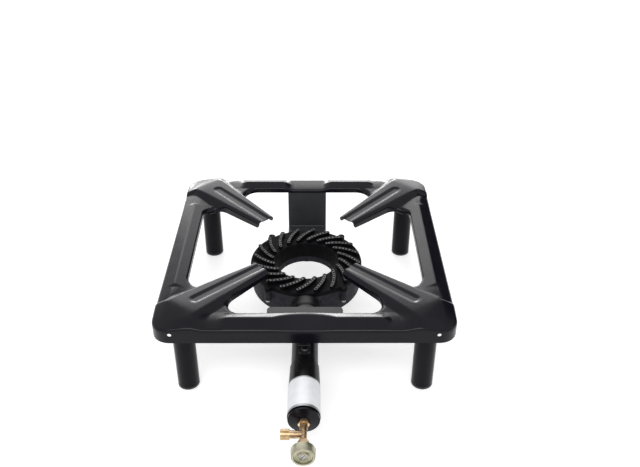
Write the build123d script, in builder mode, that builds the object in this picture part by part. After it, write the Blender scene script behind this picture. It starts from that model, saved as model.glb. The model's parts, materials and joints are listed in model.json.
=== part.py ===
# A free-standing gas stool burner: a pressed steel stand on four tube legs, a cast ring burner with
# curved ribs, its mixing tube and a brass needle valve with a hand wheel.
# Millimetres, +Z up. The origin is on the floor below the centre of the stand, and the valve points to -Y.
# A station is a distance in front of the stand's centre, measured along the mixing tube.
import math
import os

from build123d import *

# Stand: pressed top frame
frame_side = 400.0
frame_corner_radius = 25.0
sheet = 1.5
skirt_top = 124.5
skirt_depth = 20.0
rail_width = 35.0
rail_rise = 2.5
rail_bend = 2.5
lip_depth = 8.2
bead_rise = 5.8
bead_inset = 19.5
bead_end = 112.0
bead_gap = 84.0
bead_ramp = 6.0
bead_margin = 1.5
bead_sink = 0.4
arm_tip_reach = 90.0
arm_tip_width = 30.6
arm_tip_rise = 5.5
arm_crease_setback = 39.5
arm_crease_width = 55.0
arm_crease_rise = 12.5
arm_corner_drop = 13.0
arm_corner_flare = 40.0
arm_bend = 4.5
arm_root_radius = 22.5
groove_width = 12.5
groove_depth = 1.6
groove_setback = 20.0
hanging_hole = 5.5
hanging_hole_drop = 7.0
hanging_hole_inset = 26.0

# Stand: legs and feet
leg_diameter = 30.0
leg_wall = 1.5
leg_inset = 36.3
foot_height = 4.0
foot_edge = 1.5
foot_plug_length = 14.0
foot_plug_gap = 0.1

# Stand: brackets
strap_sheet = 2.0
strap_width = 64.0
strap_bend = 2.0
strap_overlap = 3.0
strap_tail = 10.0
tray_width = 102.0
tray_overhang = 22.2
tray_corner = 6.0
hanger_width = 40.0
hanger_setback = 10.0
hanger_shoulder = 6.0
tongue_width = 15.0
tongue_length = 15.0
tongue_corner = 5.0

# Burner castings
burner_bottom = 51.4
burner_outer_radius = 84.0
base_height = 38.0
base_draft = 2.0
base_wall = 5.0
base_floor = 6.0
base_foot_round = 5.0
hole_radius = 46.0
hole_lower_radius = 43.0
hole_lower_rise = 12.0
hole_bevel = 20.0
split_rise = 21.0
cap_plate = 6.0
cap_edge = 1.5
collar_wall = 4.0
rib_count = 20
rib_start_angle = -93.6
rib_inner_margin = 6.0
rib_outer_margin = 5.0
rib_sweep = 21.7
rib_entry_angle = 40.0
rib_width = 6.0
rib_height = 5.0
port_count = 8
port_diameter = 3.0
lug_angle = 50.6
lug_radius = 5.0
lug_standoff = 3.0
lug_length = 16.0
socket_wall = 4.0
socket_length = 16.0
boss_diameter = 14.0
boss_height = 6.0

# Mixing tube, air bell and label
tube_rise = 20.1
tube_diameter = 35.5
tube_wall = 2.5
tube_entry = 10.0
bell_clearance = 12.0
bell_length = 86.0
bell_start_diameter = 38.4
bell_diameter = 40.6
bell_flare = 35.0
bell_wall = 3.0
bell_overlap = 27.0
spider_hub_diameter = 18.0
spider_arm_width = 6.0
spider_arm_count = 3
spider_setback = 8.0
spider_length = 8.0
label_length = 51.0
label_margin = 0.5
label_thickness = 0.2
label_glue = 0.1
label_angle = 220.0

# Air shutter and injector
shutter_gap = 1.8
shutter_diameter = 39.6
shutter_rim = 2.5
shutter_cone = 3.0
shutter_hub_diameter = 17.0
shutter_hub_face = 1.0
lock_nut_width = 13.0
lock_nut_length = 3.0
nut_gap = 0.1
holder_diameter = 10.0
holder_bore = 4.0
holder_tail = 6.0
holder_nose = 18.0
jet_width = 7.0
jet_length = 6.0
jet_thread = 6.0
jet_thread_length = 5.0
jet_orifice = 0.9

# Needle valve
barrel_diameter = 8.6
barrel_length = 24.2
spigot_diameter = 7.8
spigot_length = 8.0
seat_bore = 2.0
seat_length = 4.0
chamber_diameter = 5.6
inlet_offset = 8.4
neck_diameter = 9.6
neck_length = 16.5
neck_bore = 4.0
inlet_thread = 13.157
inlet_length = 11.0
inlet_spigot_diameter = 6.8
inlet_spigot_length = 5.0
inlet_cone_diameter = 9.5
inlet_cone_depth = 3.0
gland_width = 12.0
gland_overlap = 5.0
gland_wall = 3.0
gland_chamfer = 0.8
packing_length = 3.0
stem_diameter = 4.0
stem_thread_offset = 6.0
stem_thread_length = 10.0
needle_base_diameter = 3.8
needle_seat_gap = 0.05
needle_entry = 3.0
wheel_gap = 1.5
wheel_length = 12.0
wheel_back_diameter = 30.0
wheel_front_diameter = 28.0
wheel_edge = 1.2
wheel_dish_diameter = 22.0
wheel_dish_depth = 1.6
wheel_ring_outer = 14.0
wheel_ring_inner = 10.5
wheel_ring_height = 0.8

# Screws
tube_screw_thread = 5.0
tube_screw_head = 9.0
tube_screw_head_height = 2.4
tube_screw_offset = 7.0
tube_screw_length = 8.0
bracket_bolt_thread = 6.0
bracket_bolt_width = 10.0
bracket_bolt_head_height = 4.0
bracket_bolt_bite = 9.0
cap_screw_thread = 4.0
cap_screw_head = 7.0
cap_screw_head_height = 3.5
cap_screw_bite = 3.5
wheel_screw_thread = 2.5
wheel_screw_head = 6.4
wheel_screw_head_height = 2.0
wheel_screw_length = 6.0
screw_slot_width = 1.0
screw_slot_depth = 0.9

# Fits
thread_gap = 0.05
running_gap = 0.05
hole_clearance = 0.25
casting_gap = 0.3
hole_spare = 0.5

# Worked out from the sizes above
frame_half = frame_side / 2
inner_half = frame_half - rail_width
leg_offset = frame_half - leg_inset
skirt_bottom = skirt_top - skirt_depth
rail_top = skirt_top + rail_rise
lip_bottom = rail_top - lip_depth
arm_tip_height = skirt_top + arm_tip_rise
arm_crease_height = skirt_top + arm_crease_rise
corner_reach = (frame_half - frame_corner_radius) * math.sqrt(2) + frame_corner_radius
arm_crease_reach = corner_reach - arm_crease_setback
arm_slope = (arm_crease_height - arm_tip_height) / (arm_crease_reach - arm_tip_reach)
arm_taper = (arm_crease_width - arm_tip_width) / (arm_crease_reach - arm_tip_reach)
base_bottom_radius = burner_outer_radius - base_draft
bracket_bolt_distance = (hole_lower_radius + hole_bevel + base_bottom_radius) / 2
lug_distance = burner_outer_radius + lug_standoff
lug_spacing_x = 2 * lug_distance * math.cos(math.radians(lug_angle))
lug_spacing_y = 2 * lug_distance * math.sin(math.radians(lug_angle))
rib_inner_radius = hole_radius + rib_inner_margin
rib_outer_radius = burner_outer_radius - rib_outer_margin
cap_seat_height = burner_bottom + base_height
cap_top_height = cap_seat_height + cap_plate
split_height = burner_bottom + split_rise
hole_lower_height = burner_bottom + hole_lower_rise
hole_taper = (hole_radius - hole_lower_radius) / (cap_top_height - hole_lower_height)
split_radius = hole_lower_radius + hole_taper * (split_height - hole_lower_height)
tube_height = burner_bottom + tube_rise
tube_radius = tube_diameter / 2
tube_start = burner_outer_radius - tube_entry
bell_start = frame_half + bell_clearance
bell_end = bell_start + bell_length
shutter_back = bell_end + shutter_gap
shutter_front = shutter_back + shutter_rim + shutter_cone + shutter_hub_face
nut_back = shutter_front + nut_gap
spider_end = bell_end - spider_setback
spider_start = spider_end - spider_length
holder_start = spider_start - holder_tail
holder_end = bell_end + holder_nose
barrel_end = holder_end + barrel_length
chamber_start = holder_end + seat_length
inlet_station = holder_end + inlet_offset
packing_end = barrel_end + packing_length
gland_front = packing_end + gland_wall
stem_thread_start = chamber_start + stem_thread_offset
wheel_back = gland_front + wheel_gap
wheel_front = wheel_back + wheel_length
wheel_floor = wheel_front - wheel_dish_depth
wheel_screw_seat = wheel_floor - wheel_screw_head_height
stem_end = wheel_screw_seat - hole_spare
hanger_front = frame_half - hanger_setback
tongue_front = hanger_front + tongue_length
tongue_top = tube_height + tube_radius + strap_sheet
tube_screw_station = hanger_front + tube_screw_offset
corners = {"front_left": (-1, -1), "front_right": (1, -1), "rear_left": (-1, 1), "rear_right": (1, 1)}
tube_axis = Axis((0, 0, tube_height), (0, -1, 0))


def finish(part, name):
    """Label a finished piece and write its file."""
    part.label = name
    export_step(part, f"parts/{name}.step")


def arm_height(reach):
    """Height of an arm's flat top at a distance from the centre, on the tip's side of the crease."""
    return arm_tip_height + arm_slope * (reach - arm_tip_reach)


def arm_width(reach):
    """Overall width of an arm at a distance from the centre, on the tip's side of the crease."""
    return arm_tip_width + arm_taper * (reach - arm_tip_reach)


def axis_plane(station):
    """Plane square to the tube's axis at a station, facing the front."""
    return Plane(origin=(0, -station, tube_height), x_dir=(1, 0, 0), z_dir=(0, -1, 0))


def axis_section(angle):
    """Plane through the tube's axis, turned from the top to +X: X is the station and Y the radius."""
    turn = math.radians(angle)
    return Plane(origin=(0, 0, tube_height), x_dir=(0, -1, 0), z_dir=(-math.cos(turn), 0, math.sin(turn)))


def neck_plane(distance):
    """Plane square to the valve's side neck, at a distance from the tube's axis, facing -X."""
    return Plane(origin=(-distance, -inlet_station, tube_height), x_dir=(0, 1, 0), z_dir=(-1, 0, 0))


def arm(inset, bottom, tip_reach):
    """One pan-support arm along +X: a rising flat top with a groove, then a wide end that slopes down."""
    end_reach = corner_reach + arm_bend
    end_slope = arm_corner_drop / (corner_reach - arm_crease_reach)
    end_height = arm_crease_height - end_slope * (end_reach - arm_crease_reach)
    flare = math.tan(math.radians(arm_corner_flare))
    end_width = arm_crease_width + 2 * flare * (end_reach - arm_crease_reach)
    stations = (
        (tip_reach, arm_width(tip_reach), arm_height(tip_reach)),
        (arm_crease_reach, arm_crease_width, arm_crease_height),
        (end_reach, end_width, end_height),
    )
    with BuildPart() as solid:
        for reach, width, height in stations:
            with BuildSketch(Plane.YZ.offset(reach)):
                with Locations((0, bottom)):
                    Rectangle(
                        width - 2 * inset,
                        height - inset - bottom,
                        align=(Align.CENTER, Align.MIN),
                    )
                fillet(vertices().group_by(Axis.Y)[-1], arm_bend - inset)
        loft(ruled=True)
        floor = arm_tip_height - groove_depth - inset
        groove_plane = Plane(
            origin=(arm_tip_reach, 0, floor),
            x_dir=(1, 0, arm_slope),
            z_dir=(-arm_slope, 0, 1),
        )
        straight = arm_crease_reach - groove_setback - groove_width / 2 - arm_tip_reach
        with BuildSketch(groove_plane):
            with Locations((straight, 0)):
                Circle(groove_width / 2 + inset)
            with Locations((straight, 0)):
                Rectangle(2 * straight, groove_width + 2 * inset, align=(Align.MAX, Align.CENTER))
        extrude(amount=2 * groove_depth, mode=Mode.SUBTRACT)
    return solid.part


def rail_roof(inset, bottom):
    """The stand's outline up to the rails' tops, which rise from the skirt to the inner edge."""
    outer = frame_side - 2 * inset
    inner = 2 * (inner_half + inset)
    corner = frame_corner_radius - inset
    with BuildPart() as roof:
        with BuildSketch(Plane.XY.offset(bottom)):
            RectangleRounded(outer, outer, corner)
        extrude(amount=skirt_top - inset - bottom)
        with BuildSketch(Plane.XY.offset(skirt_top - inset)):
            RectangleRounded(outer, outer, corner)
        with BuildSketch(Plane.XY.offset(rail_top - inset)):
            RectangleRounded(inner, inner, corner)
        loft(ruled=True)
        skirt_edges = roof.edges().filter_by_position(Axis.Z, skirt_top - inset, skirt_top - inset)
        fillet(skirt_edges, rail_bend - inset)
    return roof.part


def bead(length, inset, bottom):
    """A raised roof-shaped bead across a rail, lying along X at the front, with sloped ends."""
    half_length = length / 2
    outer_foot = frame_half - rail_bend
    inner_foot = inner_half + bead_margin
    ridge = frame_half - bead_inset
    ridge_base = skirt_top + rail_rise * bead_inset / rail_width
    outer_height = skirt_top + rail_rise * rail_bend / rail_width - bead_sink - inset
    inner_height = rail_top - rail_rise * bead_margin / rail_width - bead_sink - inset
    with BuildPart() as solid:
        stations = (
            (-half_length, -bead_sink),
            (bead_ramp - half_length, bead_rise),
            (half_length - bead_ramp, bead_rise),
            (half_length, -bead_sink),
        )
        for along, rise in stations:
            with BuildSketch(Plane.YZ.offset(along)):
                with BuildLine():
                    Polyline(
                        (-outer_foot, bottom),
                        (-outer_foot, outer_height),
                        (-ridge, ridge_base - inset + rise),
                        (-inner_foot, inner_height),
                        (-inner_foot, bottom),
                        close=True,
                    )
                make_face()
        loft(ruled=True)
    return solid.part


def pressing(inset, bottom, tip_reach):
    """The top frame's outer form, or with an inset the form of the space under its sheet."""
    opening = 2 * (inner_half + inset)
    bend_clear_reach = arm_tip_reach + (rail_top + arm_bend - arm_tip_height) / arm_slope
    start_reach = max(tip_reach, bend_clear_reach)
    root_reach = (arm_crease_reach + corner_reach) / 2
    with BuildPart() as rails:
        with BuildSketch(Plane.XY.offset(bottom)):
            RectangleRounded(frame_side - 2 * inset, frame_side - 2 * inset, frame_corner_radius - inset)
            Rectangle(opening, opening, mode=Mode.SUBTRACT)
            with PolarLocations(0, 4, start_angle=45):
                Polygon(
                    (start_reach, -arm_width(start_reach) / 2 + inset),
                    (root_reach, -arm_width(root_reach) / 2 + inset),
                    (root_reach, arm_width(root_reach) / 2 - inset),
                    (start_reach, arm_width(start_reach) / 2 - inset),
                    align=None,
                )
            roots = vertices().filter_by(lambda v: abs(max(abs(v.X), abs(v.Y)) - opening / 2) < 0.01)
            fillet(roots, arm_root_radius + inset)
        extrude(amount=rail_top - bottom)
        add(rail_roof(inset, bottom), mode=Mode.INTERSECT)
    outline = frame_side - 2 * inset
    half_bead = bead(bead_end - bead_gap / 2, inset, bottom)
    full_bead = bead(2 * bead_end, inset, bottom)
    half_bead_centre = (bead_end + bead_gap / 2) / 2
    with BuildPart() as form:
        with PolarLocations(0, 4, start_angle=45):
            add(arm(inset, bottom, tip_reach))
        add(rails.part)
        with PolarLocations(0, 2):
            with Locations((-half_bead_centre, 0), (half_bead_centre, 0)):
                add(half_bead)
        with PolarLocations(0, 2, start_angle=90):
            add(full_bead)
        with BuildSketch(Plane.XY.offset(bottom)):
            RectangleRounded(outline, outline, frame_corner_radius - inset)
        extrude(amount=arm_crease_height - bottom, mode=Mode.INTERSECT)
    return form.part

os.makedirs("parts", exist_ok=True)

# Top frame: the outer form less the space under the sheet, with only the skirt going below the lips
under_frame = pressing(sheet, 0, arm_tip_reach - arm_tip_width)
with BuildPart() as top_frame:
    add(pressing(0, skirt_bottom, arm_tip_reach))
    add(under_frame, mode=Mode.SUBTRACT)
    with BuildSketch(Plane.XY.offset(skirt_bottom)):
        RectangleRounded(frame_side - 2 * sheet, frame_side - 2 * sheet, frame_corner_radius - sheet)
    extrude(amount=lip_bottom - skirt_bottom, mode=Mode.SUBTRACT)
    with BuildSketch(Plane.XZ):
        with Locations((0, skirt_top - hanging_hole_drop)):
            with GridLocations(frame_side - 2 * hanging_hole_inset, 0, 2, 1):
                Circle(hanging_hole / 2)
    extrude(amount=frame_side, mode=Mode.SUBTRACT)
finish(top_frame.part, "top_frame")

# Legs: round tubes whose upper ends are cut to the underside of the pressing and welded there
for corner, (side_x, side_y) in corners.items():
    with BuildPart() as leg:
        with BuildSketch(Plane.XY.offset(foot_height)):
            with Locations((side_x * leg_offset, side_y * leg_offset)):
                Circle(leg_diameter / 2)
                Circle(leg_diameter / 2 - leg_wall, mode=Mode.SUBTRACT)
        extrude(amount=arm_crease_height - foot_height)
        add(under_frame, mode=Mode.INTERSECT)
    finish(leg.part, f"leg_{corner}")

# Feet: plastic end plugs with a rounded edge on the floor
for corner, (side_x, side_y) in corners.items():
    centre = (side_x * leg_offset, side_y * leg_offset)
    with BuildPart() as foot:
        with BuildSketch():
            with Locations(centre):
                Circle(leg_diameter / 2)
        extrude(amount=foot_height)
        fillet(foot.edges().group_by(Axis.Z)[0], foot_edge)
        with BuildSketch(Plane.XY.offset(foot_height)):
            with Locations(centre):
                Circle(leg_diameter / 2 - leg_wall - foot_plug_gap)
        extrude(amount=foot_plug_length)
    finish(foot.part, f"foot_{corner}")

# Rear bracket: a strap that hangs behind the rear lip and turns forward under the burner
with BuildPart() as rear_bracket:
    strap_front = inner_half + sheet
    strap_tip = bracket_bolt_distance - strap_tail
    with BuildSketch(Plane.YZ):
        with BuildLine():
            Polyline(
                (strap_front, lip_bottom + strap_overlap),
                (strap_front + strap_sheet, lip_bottom + strap_overlap),
                (strap_front + strap_sheet, burner_bottom - strap_sheet),
                (strap_tip, burner_bottom - strap_sheet),
                (strap_tip, burner_bottom),
                (strap_front, burner_bottom),
                close=True,
            )
        make_face()
        fillet(vertices().sort_by_distance((strap_front, burner_bottom))[0], strap_bend)
        outer_bend = (strap_front + strap_sheet, burner_bottom - strap_sheet)
        fillet(vertices().sort_by_distance(outer_bend)[0], strap_bend + strap_sheet)
    extrude(amount=strap_width / 2, both=True)
    with Locations((0, bracket_bolt_distance, burner_bottom)):
        Hole(bracket_bolt_thread / 2 + hole_clearance, depth=strap_sheet)
finish(rear_bracket.part, "rear_bracket")

# Front bracket: a tray under the front lip, a web in front of it and a tongue that lies on the tube
with BuildPart() as front_bracket:
    tray_rear = inner_half - tray_overhang
    with BuildSketch(Plane.YZ):
        with BuildLine():
            Polyline(
                (-tray_rear, lip_bottom),
                (-hanger_front, lip_bottom),
                (-hanger_front, tongue_top),
                (-tongue_front, tongue_top),
                (-tongue_front, tongue_top - strap_sheet),
                (-hanger_front + strap_sheet, tongue_top - strap_sheet),
                (-hanger_front + strap_sheet, lip_bottom - strap_sheet),
                (-tray_rear, lip_bottom - strap_sheet),
                close=True,
            )
        make_face()
        inner_bend = (-hanger_front + strap_sheet, lip_bottom - strap_sheet)
        fillet(vertices().sort_by_distance(inner_bend)[0], strap_bend)
        fillet(vertices().sort_by_distance((-hanger_front, lip_bottom))[0], strap_bend + strap_sheet)
        fillet(vertices().sort_by_distance((-hanger_front, tongue_top))[0], strap_bend)
    extrude(amount=tray_width / 2, both=True)
    with BuildSketch(Plane.XZ):
        tray_centre = lip_bottom - hanger_shoulder / 2
        with Locations((0, tray_centre)):
            Rectangle(tray_width, hanger_shoulder)
        web_bottom = tongue_top + hanger_shoulder
        with Locations((0, web_bottom)):
            Rectangle(hanger_width, lip_bottom - web_bottom, align=(Align.CENTER, Align.MIN))
        with Locations((0, tongue_top - strap_sheet)):
            Rectangle(tongue_width, lip_bottom - tongue_top, align=(Align.CENTER, Align.MIN))
    extrude(amount=tongue_front, mode=Mode.INTERSECT)
    fillet(front_bracket.edges().filter_by(Axis.Z).group_by(Axis.Y)[-1], tray_corner)
    fillet(front_bracket.edges().filter_by(Axis.Z).group_by(Axis.Y)[0], tongue_corner)
    with Locations((0, -tube_screw_station, tongue_top)):
        Hole(tube_screw_thread / 2 + hole_clearance, depth=strap_sheet)
finish(front_bracket.part, "front_bracket")

# Burner base: a cast trough with a socket for the mixing tube, side lugs and a bolt boss
with BuildPart() as burner_base:
    with BuildSketch(Plane.XZ):
        with BuildLine():
            Polyline(
                (hole_lower_radius, hole_lower_height),
                (hole_lower_radius + hole_bevel, burner_bottom),
                (base_bottom_radius, burner_bottom),
                (burner_outer_radius, cap_seat_height),
                (split_radius, cap_seat_height),
                (split_radius, split_height),
                close=True,
            )
        make_face()
    revolve(axis=Axis.Z)
    fillet(burner_base.edges().group_by(Axis.Z)[0].sort_by(SortBy.RADIUS)[-1], base_foot_round)
    with BuildSketch(Plane.XY.offset(cap_seat_height)):
        with GridLocations(lug_spacing_x, lug_spacing_y, 2, 2):
            Circle(lug_radius)
    extrude(amount=-lug_length)
    with BuildSketch(axis_plane(tube_start)):
        Circle(tube_radius + socket_wall)
    extrude(amount=burner_outer_radius + socket_length - tube_start)
    with BuildSketch(Plane.XZ):
        cavity_floor = burner_bottom + base_floor
        with BuildLine():
            Polyline(
                (split_radius - collar_wall, split_height),
                (split_radius + collar_wall, split_height),
                (hole_lower_radius + collar_wall, hole_lower_height),
                (hole_lower_radius + hole_bevel, cavity_floor),
                (base_bottom_radius - base_wall, cavity_floor),
                (burner_outer_radius - base_wall, cap_seat_height),
                (split_radius - collar_wall, cap_seat_height),
                close=True,
            )
        make_face()
    revolve(axis=Axis.Z, mode=Mode.SUBTRACT)
    with BuildSketch(axis_plane(tube_start)):
        Circle(tube_radius + running_gap)
    extrude(amount=burner_outer_radius + socket_length - tube_start, mode=Mode.SUBTRACT)
    with BuildSketch(Plane.XY.offset(cap_seat_height)):
        Circle(burner_outer_radius + casting_gap)
    extrude(amount=cap_plate, mode=Mode.SUBTRACT)
    with BuildSketch(Plane.XY.offset(burner_bottom)):
        with Locations((0, bracket_bolt_distance)):
            Circle(boss_diameter / 2)
    extrude(amount=base_floor + boss_height)
    with Locations(Location((0, bracket_bolt_distance, burner_bottom), (180, 0, 0))):
        Hole(bracket_bolt_thread / 2 + thread_gap, depth=bracket_bolt_bite + hole_spare)
    with Locations(Plane.XY.offset(cap_seat_height)):
        with GridLocations(lug_spacing_x, lug_spacing_y, 2, 2):
            Hole(cap_screw_thread / 2 + hole_clearance, depth=lug_length)
finish(burner_base.part, "burner_base")

# Burner cap: a cast ring with an inner collar, curved ribs and a row of gas ports along each rib
with BuildPart() as burner_cap:
    with BuildSketch(Plane.XZ):
        with BuildLine():
            Polyline(
                (hole_radius, cap_top_height),
                (burner_outer_radius, cap_top_height),
                (burner_outer_radius, cap_seat_height),
                (hole_radius + collar_wall, cap_seat_height),
                (split_radius + collar_wall, split_height),
                (split_radius, split_height),
                close=True,
            )
        make_face()
    revolve(axis=Axis.Z)
    fillet(burner_cap.edges().group_by(Axis.Z)[-1], cap_edge)
    with BuildSketch(Plane.XY.offset(cap_seat_height)):
        with GridLocations(lug_spacing_x, lug_spacing_y, 2, 2):
            Circle(lug_radius)
    extrude(amount=cap_plate)
    rib_end = (
        rib_outer_radius * math.cos(math.radians(rib_sweep)),
        -rib_outer_radius * math.sin(math.radians(rib_sweep)),
    )
    rib_entry = (math.cos(math.radians(rib_entry_angle)), -math.sin(math.radians(rib_entry_angle)))
    with BuildLine(mode=Mode.PRIVATE):
        rib_path = TangentArc((rib_inner_radius, 0), rib_end, tangent=rib_entry)
    with BuildSketch(Plane.XY.offset(cap_top_height)):
        with PolarLocations(0, rib_count, start_angle=rib_start_angle):
            SlotArc(rib_path, rib_width)
    extrude(amount=rib_height)
    with BuildSketch(Plane.XY.offset(cap_top_height + rib_height)):
        with PolarLocations(0, rib_count, start_angle=rib_start_angle):
            with Locations(*[rib_path.position_at(i / (port_count - 1)) for i in range(port_count)]):
                Circle(port_diameter / 2)
    extrude(amount=-rib_height - cap_plate, mode=Mode.SUBTRACT)
    with Locations(Location((0, 0, cap_seat_height), (180, 0, 0))):
        with GridLocations(lug_spacing_x, lug_spacing_y, 2, 2):
            Hole(cap_screw_thread / 2 + thread_gap, depth=cap_screw_bite + hole_spare)
finish(burner_cap.part, "burner_cap")

# Cap screws: slotted screws driven up through the lugs
with BuildPart() as cap_screws:
    screw_head_top = cap_seat_height - lug_length
    with BuildSketch(Plane.XY.offset(screw_head_top)):
        with GridLocations(lug_spacing_x, lug_spacing_y, 2, 2):
            Circle(cap_screw_thread / 2)
    extrude(amount=lug_length + cap_screw_bite)
    with BuildSketch(Plane.XY.offset(screw_head_top)):
        with GridLocations(lug_spacing_x, lug_spacing_y, 2, 2):
            Circle(cap_screw_head / 2)
    extrude(amount=-cap_screw_head_height)
    with BuildSketch(Plane.XY.offset(screw_head_top - cap_screw_head_height)):
        with GridLocations(lug_spacing_x, lug_spacing_y, 2, 2):
            Rectangle(cap_screw_head, screw_slot_width)
    extrude(amount=screw_slot_depth, mode=Mode.SUBTRACT)
finish(cap_screws.part, "cap_screws")

# Bracket bolt: a hex bolt from below through the rear bracket into the base's boss
with BuildPart() as bracket_bolt:
    bolt_head_top = burner_bottom - strap_sheet
    with BuildSketch(Plane.XY.offset(bolt_head_top)):
        with Locations((0, bracket_bolt_distance)):
            RegularPolygon(bracket_bolt_width / 2, 6, major_radius=False)
    extrude(amount=-bracket_bolt_head_height)
    with BuildSketch(Plane.XY.offset(bolt_head_top)):
        with Locations((0, bracket_bolt_distance)):
            Circle(bracket_bolt_thread / 2)
    extrude(amount=strap_sheet + bracket_bolt_bite)
finish(bracket_bolt.part, "bracket_bolt")

# Mixing tube: from the socket of the base to the inside of the bell
with BuildPart() as mixing_tube:
    with BuildSketch(axis_plane(tube_start)):
        Circle(tube_radius)
        Circle(tube_radius - tube_wall, mode=Mode.SUBTRACT)
    extrude(amount=bell_start + bell_overlap - tube_start)
    with Locations((0, -tube_screw_station, tube_height + tube_radius)):
        Hole(tube_screw_thread / 2 + thread_gap, depth=2 * tube_wall)
finish(mixing_tube.part, "mixing_tube")

# Tube screw: a slotted screw through the tongue into the tube
with BuildPart() as tube_screw:
    with BuildSketch(Plane.XY.offset(tongue_top)):
        with Locations((0, -tube_screw_station)):
            Circle(tube_screw_head / 2)
    extrude(amount=tube_screw_head_height)
    fillet(tube_screw.edges().group_by(Axis.Z)[-1], tube_screw_head_height / 2)
    with BuildSketch(Plane.XY.offset(tongue_top)):
        with Locations((0, -tube_screw_station)):
            Circle(tube_screw_thread / 2)
    extrude(amount=-tube_screw_length)
    with BuildSketch(Plane.XY.offset(tongue_top + tube_screw_head_height)):
        with Locations((0, -tube_screw_station)):
            Rectangle(tube_screw_head, screw_slot_width)
    extrude(amount=-screw_slot_depth, mode=Mode.SUBTRACT)
finish(tube_screw.part, "tube_screw")

# Air bell: the wider sleeve over the tube's end, with a spider that holds the injector
with BuildPart() as air_bell:
    with BuildSketch(axis_section(0)):
        with BuildLine():
            Polyline(
                (bell_start, bell_start_diameter / 2),
                (bell_start + bell_flare, bell_diameter / 2),
                (bell_end, bell_diameter / 2),
                (bell_end, bell_diameter / 2 - bell_wall),
                (bell_start + bell_overlap, bell_diameter / 2 - bell_wall),
                (bell_start + bell_overlap, tube_radius + running_gap),
                (bell_start, tube_radius + running_gap),
                close=True,
            )
        make_face()
    revolve(axis=tube_axis)
    with BuildSketch(axis_plane(spider_start)):
        Circle(spider_hub_diameter / 2)
        with PolarLocations(0, spider_arm_count, start_angle=90):
            Rectangle(bell_diameter / 2 - bell_wall / 2, spider_arm_width, align=(Align.MIN, Align.CENTER))
        Circle(holder_diameter / 2 + thread_gap, mode=Mode.SUBTRACT)
    extrude(amount=spider_length)
finish(air_bell.part, "air_bell")

# Rating label: bare foil round the upper side of the bell
with BuildPart() as rating_label:
    with BuildSketch(axis_section(label_angle / 2)):
        with Locations((bell_end - label_margin, bell_diameter / 2 + label_glue)):
            Rectangle(label_length, label_thickness, align=(Align.MAX, Align.MIN))
    revolve(axis=tube_axis, revolution_arc=label_angle)
finish(rating_label.part, "rating_label")

# Injector holder: a threaded pipe through the spider that carries shutter, lock nut and valve
with BuildPart() as injector_holder:
    with BuildSketch(axis_section(0)):
        with BuildLine():
            Polyline(
                (holder_start, jet_thread / 2 + thread_gap),
                (holder_start, holder_diameter / 2),
                (holder_end, holder_diameter / 2),
                (holder_end, spigot_diameter / 2 + thread_gap),
                (holder_end - spigot_length, spigot_diameter / 2 + thread_gap),
                (holder_end - spigot_length, holder_bore / 2),
                (holder_start + jet_thread_length, holder_bore / 2),
                (holder_start + jet_thread_length, jet_thread / 2 + thread_gap),
                close=True,
            )
        make_face()
    revolve(axis=tube_axis)
finish(injector_holder.part, "injector_holder")

# Injector jet: a small hex nozzle with the metering bore, inside the bell
with BuildPart() as injector_jet:
    with BuildSketch(axis_plane(holder_start - jet_length)):
        RegularPolygon(jet_width / 2, 6, major_radius=False)
    extrude(amount=jet_length)
    with BuildSketch(axis_plane(holder_start)):
        Circle(jet_thread / 2)
    extrude(amount=jet_thread_length)
    with BuildSketch(axis_plane(holder_start - jet_length)):
        Circle(jet_orifice / 2)
    extrude(amount=jet_length + jet_thread_length, mode=Mode.SUBTRACT)
finish(injector_jet.part, "injector_jet")

# Air shutter: a coned disc that winds along the holder's thread in front of the bell's mouth
with BuildPart() as air_shutter:
    shutter_bore = holder_diameter / 2 + running_gap
    with BuildSketch(axis_section(0)):
        with BuildLine():
            Polyline(
                (shutter_back, shutter_bore),
                (shutter_back, shutter_diameter / 2),
                (shutter_back + shutter_rim, shutter_diameter / 2),
                (shutter_front - shutter_hub_face, shutter_hub_diameter / 2),
                (shutter_front, shutter_hub_diameter / 2),
                (shutter_front, shutter_bore),
                close=True,
            )
        make_face()
    revolve(axis=tube_axis)
finish(air_shutter.part, "air_shutter")

# Lock nut: a thin brass hex nut that holds the shutter in place
with BuildPart() as lock_nut:
    with BuildSketch(axis_plane(nut_back)):
        RegularPolygon(lock_nut_width / 2, 6, major_radius=False)
        Circle(holder_diameter / 2 + running_gap, mode=Mode.SUBTRACT)
    extrude(amount=lock_nut_length)
finish(lock_nut.part, "lock_nut")

# Valve body: a slim barrel with a spigot into the holder and a side neck for the gas
with BuildPart() as valve_body:
    with BuildSketch(axis_plane(holder_end)):
        Circle(barrel_diameter / 2)
    extrude(amount=barrel_length)
    with BuildSketch(axis_plane(holder_end)):
        Circle(spigot_diameter / 2)
    extrude(amount=-spigot_length)
    with BuildSketch(neck_plane(0)):
        Circle(neck_diameter / 2)
    extrude(amount=neck_length)
    with BuildSketch(axis_plane(holder_end - spigot_length)):
        Circle(seat_bore / 2)
    extrude(amount=spigot_length + barrel_length, mode=Mode.SUBTRACT)
    with BuildSketch(axis_plane(chamber_start)):
        Circle(chamber_diameter / 2)
    extrude(amount=barrel_end - chamber_start, mode=Mode.SUBTRACT)
    with BuildSketch(neck_plane(0)):
        Circle(neck_bore / 2)
    extrude(amount=neck_length, mode=Mode.SUBTRACT)
    with BuildSketch(neck_plane(neck_length)):
        Circle(inlet_spigot_diameter / 2 + thread_gap)
    extrude(amount=-inlet_spigot_length, mode=Mode.SUBTRACT)
finish(valve_body.part, "valve_body")

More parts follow.
